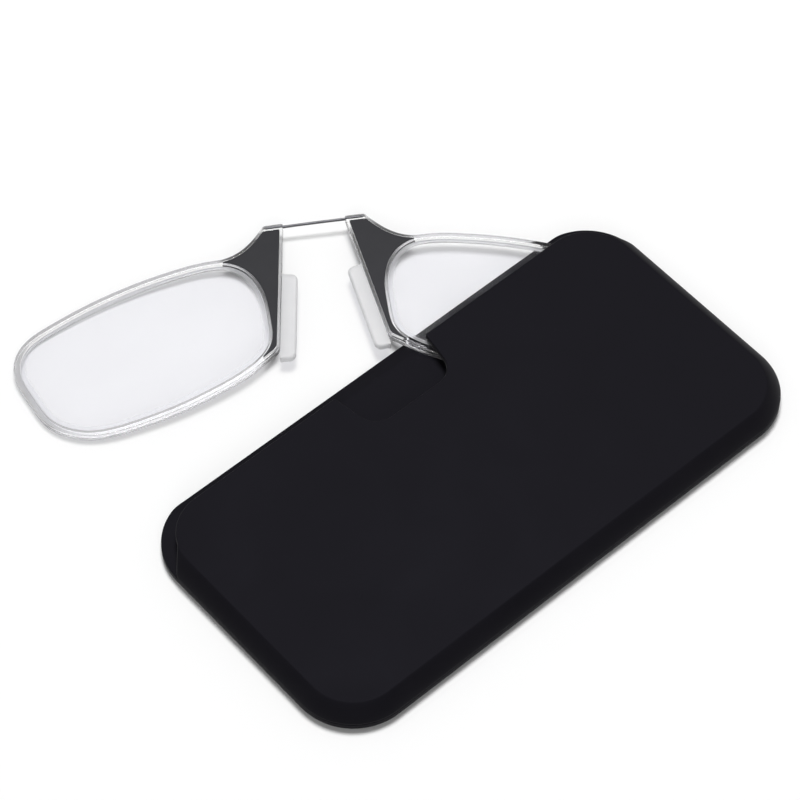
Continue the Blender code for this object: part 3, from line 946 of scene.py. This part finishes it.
def makeLens(side, name, opening):
    # rings from the middle of the back, out round the bevelled edge, and in over the domed front. A ring's
    # points lie on lines from the middle, and the dome falls with the square of their share of the way out.
    low = -faceTop + glassesShape["ledgeThickness"] + lensShape["seatGap"]
    high = low + lensShape["thickness"]
    edge = opening - outwards(opening) * lensShape["fit"]
    middle = edge.mean(axis=0)
    bevelled = edge - outwards(edge) * lensShape["bevel"]
    shares = np.sin(np.linspace(0, math.pi / 2, 26))[1:]
    (backIn, backUp), (frontIn, frontUp) = lensShape["backBevel"], lensShape["frontBevel"]
    rings = [atHeight(middle + (bevelled - middle) * share, low) for share in shares]
    rings += [
        atHeight(edge - outwards(edge) * backIn, low + backUp),
        atHeight(edge, low + lensShape["backEdge"]),
        atHeight(edge, high - lensShape["bevelDrop"]),
        atHeight(edge - outwards(edge) * frontIn, high - lensShape["bevelDrop"] + frontUp),
    ]
    rings += [
        atHeight(middle + (bevelled - middle) * share, high + lensShape["dome"] * (1 - share**2))
        for share in shares[::-1]
    ]
    points, faces = stackedRings(rings)
    # the front's points carry their distance in from the edge, and the back's a distance past the ground
    # band, which is greyed as painted shade
    inFromEdge = np.linalg.norm(points[:, :2] - np.tile(edge, (len(rings), 1)), axis=1)
    inFromEdge[: len(shares) * len(edge)] = edge.max()
    uv = np.column_stack([np.zeros(len(points)), inFromEdge])
    lens = makePiece(name + "Lens", placed(points, side), faces, finishes["lens"], uv=uv)
    return settle(lens, name + "_half", name + "_lens")


plateShape = {"fit": 0.05, "edgeRound": 0.07, "edgeStep": 0.04, "thickness": 1.0}


def makeNosePlate(side, name, window):
    # the window's outline, smaller by the fit, with a rounded upper edge
    outline = window - outwards(window) * plateShape["fit"]
    out = outwards(outline)
    low, radius, step = faceTop - plateShape["thickness"], plateShape["edgeRound"], plateShape["edgeStep"]
    rings = [atHeight(outline - out * step, low), atHeight(outline, low)]
    rings += [
        atHeight(outline - out * radius * (1 - math.cos(t)), faceTop - radius * (1 - math.sin(t)))
        for t in np.linspace(0, math.pi / 2, 6)
    ]
    rings.append(atHeight(outline - out * (radius + step), faceTop))
    points, faces = stackedRings(rings)
    plate = makePiece(name + "NosePlate", placed(points, side), faces, finishes["nose_plate"])
    return settle(plate, name + "_half", name + "_nose_plate")


padShape = {
    "start": 11.6,
    "length": 20.4,
    "reach": 3.1,
    "thickness": 1.6,
    "radius": 1.4,
    "innerRadius": 0.3,
    "softness": 0.12,
    "fit": 0.05,
    "flatSide": (0.1, 0.9),  # how far from the frame the pad begins to round, and is fully round
    "leastInset": 0.05,
    "roundInset": 0.55,
    "faceStep": 0.1,
    "fullness": 0.8,
    "points": 360,
}


def makeNosePad(side, name):
    # rings of the pad's outline, drawn in towards its face and its back as a superellipse of the height
    start, along = noseEdge()
    across = np.array([-math.cos(math.radians(glassesShape["noseEdgeLean"])), along[0] * -1])
    near = start + along * padShape["start"] + across * padShape["fit"]
    far = near + along * padShape["length"]
    corners = [near, far, far + across * padShape["reach"], near + across * padShape["reach"]]
    radii = [padShape["innerRadius"]] * 2 + [padShape["radius"]] * 2
    outline = softened(evenly(roundedPath(corners, radii), padShape["points"]), padShape["softness"])
    out = outwards(outline)
    # the side against the frame stays flat
    soft = smoothStep(*padShape["flatSide"], (outline - near) @ across)[:, None]
    half = padShape["thickness"] / 2
    least, rounded = padShape["leastInset"], padShape["roundInset"]
    faceEdge = outline - out * (least + (rounded + padShape["faceStep"]) * soft)
    rings = [atHeight(faceEdge, -half)]
    for turn in np.linspace(-math.pi / 2, math.pi / 2, 17):
        moved = (least + rounded * soft) * (1 - abs(math.cos(turn)) ** padShape["fullness"])
        rings.append(atHeight(outline - out * moved, half * math.sin(turn)))
    rings.append(atHeight(faceEdge, half))
    points, faces = stackedRings(rings)
    pad = makePiece(name + "NosePad", placed(points, side), faces, finishes["silicone"])
    return settle(pad, name + "_half", name + "_nose_pad")


def makeHalf(side, name):
    steps = 40
    fine = lensOpening(steps)
    outline = evenly(frameOutline(fine, steps), glassesShape["outlinePoints"])
    outline = softened(outline, glassesShape["cornerSoftness"])
    opening = softened(evenly(fine, glassesShape["openingPoints"]), glassesShape["openingSoftness"])
    window = plateOutline(outline, opening)
    makeRim(side, name, opening, outline, window)
    makeLens(side, name, opening)
    makeNosePlate(side, name, window)
    makeNosePad(side, name)
    print(name, "half made")


stripShape = {
    "thickness": 0.4,
    "height": 0.6,
    "squareness": 4.0,
    "forward": 0.2,  # towards the brow from the bridge's middle
    "raised": 0.25,  # out of the face from the bridge's middle
}


def makeBridgeStrip():
    # a rounded section, |y|^n + |z|^n = 1, carried along the strip's line: level in the right half,
    # then a parabola down to the slope of the left half. Its ends run inside the rims, which have no slot.
    half = glassesShape["bridgeSpan"] / 2
    end = half + glassesShape["bridgeGrip"]
    slope = math.tan(droop)
    x = np.linspace(end, -end, 121)
    sag = -slope * (half - np.clip(x, -half, half)) ** 2 / (4 * half)
    z = sag + slope * np.minimum(x + half, 0)
    turn = np.linspace(0, 2 * math.pi, 32, endpoint=False)
    power = 2 / stripShape["squareness"]
    y = np.sign(np.cos(turn)) * np.abs(np.cos(turn)) ** power * stripShape["thickness"] / 2
    rise = np.sign(np.sin(turn)) * np.abs(np.sin(turn)) ** power * stripShape["height"] / 2
    grid = np.empty((len(x), len(turn), 3))
    grid[..., 0] = x[:, None]
    grid[..., 1] = y + stripShape["forward"]
    grid[..., 2] = z[:, None] + rise + stripShape["raised"]
    girth = 2 * (stripShape["thickness"] + stripShape["height"])
    uv = np.empty((len(x), len(turn), 2))
    uv[..., 0] = x[:, None]
    uv[..., 1] = turn / (2 * math.pi) * girth
    points, faces = stackedRings(list(grid))
    strip = makePiece("bridgeStrip", placed(points, 1), faces, finishes["bridge_metal"], uv=uv.reshape(-1, 2))
    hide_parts("bridge_strip")
    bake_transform(strip)
    return strip


makeHalf(1, "right")
makeHalf(-1, "left")
makeBridgeStrip()
print("glasses made")


# Table, lights and camera

def paperFloor():
    # smooth white paper: matt, even, with a trace of fibre
    material, tree, shader = newMaterial("whitePaper", {"Base Color": linear("#f6f6f6"), "Roughness": 0.9})
    shader.inputs["Specular IOR Level"].default_value = 0.0
    fibre = addNode(tree, "TexNoise", {"Scale": 1.0, "Detail": 2.0}, {"Vector": objectPoints(tree, 1.0)})
    bump = addNode(tree, "Bump", {"Strength": 0.02, "Distance": 0.01 * mm}, {"Height": fibre.outputs["Fac"]})
    tree.links.new(bump.outputs["Normal"], shader.inputs["Normal"])
    return material


studio = {
    "floorSize": 6.0,
    "floorDrop": 0.02 * mm,
    "zenith": 0.05,
    "horizon": 0.54,
    "cameraAzimuth": -41.256,
    "cameraElevation": 55.048,
    "cameraDistance": 621.4 * mm,
    "cameraAim": (-1.32 * mm, 20.03 * mm, 3.0 * mm),
    "focalLength": 147.07,
    "sensorWidth": 36.0,
    "softBoxes": [  # name, place and width in metres, power in watts
        ("overheadSoftBox", (0.27, 0.31, 1.55), 0.62, 22.5),
        ("nearSideFill", (-0.48, -0.56, 0.52), 0.5, 1.1),
    ],
}


def addFloor():
    size = studio["floorSize"] / 2
    mesh = bpy.data.meshes.new("floor")
    corners = [(-size, -size, 0), (size, -size, 0), (size, size, 0), (-size, size, 0)]
    mesh.from_pydata(corners, [], [(0, 1, 2, 3)])
    mesh.transform(Matrix.Translation((0, 0, -studio["floorDrop"])))
    mesh.materials.append(paperFloor())
    floor = bpy.data.objects.new("floor", mesh)
    bpy.context.scene.collection.objects.link(floor)


def addWorld():
    # an even studio sky, bright at the horizon and dim overhead
    world = bpy.data.worlds.new("studioSky")
    world.use_nodes = True
    tree = world.node_tree
    tree.nodes.clear()
    place = addNode(tree, "TexCoord")
    split = addNode(tree, "SeparateXYZ", links={"Vector": place.outputs["Generated"]})
    strength = addNode(
        tree,
        "MapRange",
        {"From Min": 0.0, "From Max": 1.0, "To Min": studio["horizon"], "To Max": studio["zenith"]},
        {"Value": split.outputs["Z"]},
    )
    sky = addNode(tree, "Background", {"Color": linear("#ffffff")}, {"Strength": strength.outputs["Result"]})
    out = addNode(tree, "OutputWorld")
    tree.links.new(sky.outputs["Background"], out.inputs["Surface"])
    bpy.context.scene.world = world


def addSoftBox(name, place, size, power):
    # hidden from rays through the clear pieces, which would make it glitter in their edges
    light = bpy.data.lights.new(name, "AREA")
    light.shape = "DISK"
    light.size = size
    light.energy = power
    box = bpy.data.objects.new(name, light)
    box.location = place
    box.rotation_euler = Vector(place).to_track_quat("Z", "Y").to_euler()
    box.visible_transmission = False
    bpy.context.scene.collection.objects.link(box)


def addCamera():
    azimuth = math.radians(studio["cameraAzimuth"])
    elevation = math.radians(studio["cameraElevation"])
    away = Vector((
        math.sin(azimuth) * math.cos(elevation),
        -math.cos(azimuth) * math.cos(elevation),
        math.sin(elevation),
    ))
    data = bpy.data.cameras.new("camera")
    data.lens = studio["focalLength"]
    data.sensor_width = studio["sensorWidth"]
    data.clip_start = 0.01
    camera = bpy.data.objects.new("camera", data)
    camera.location = Vector(studio["cameraAim"]) + away * studio["cameraDistance"]
    camera.rotation_euler = away.to_track_quat("Z", "Y").to_euler()
    bpy.context.scene.collection.objects.link(camera)
    bpy.context.scene.camera = camera


addFloor()
addWorld()
for box in studio["softBoxes"]:
    addSoftBox(*box)
addCamera()
bpy.context.scene.view_settings.view_transform = "Standard"
print("studio made")
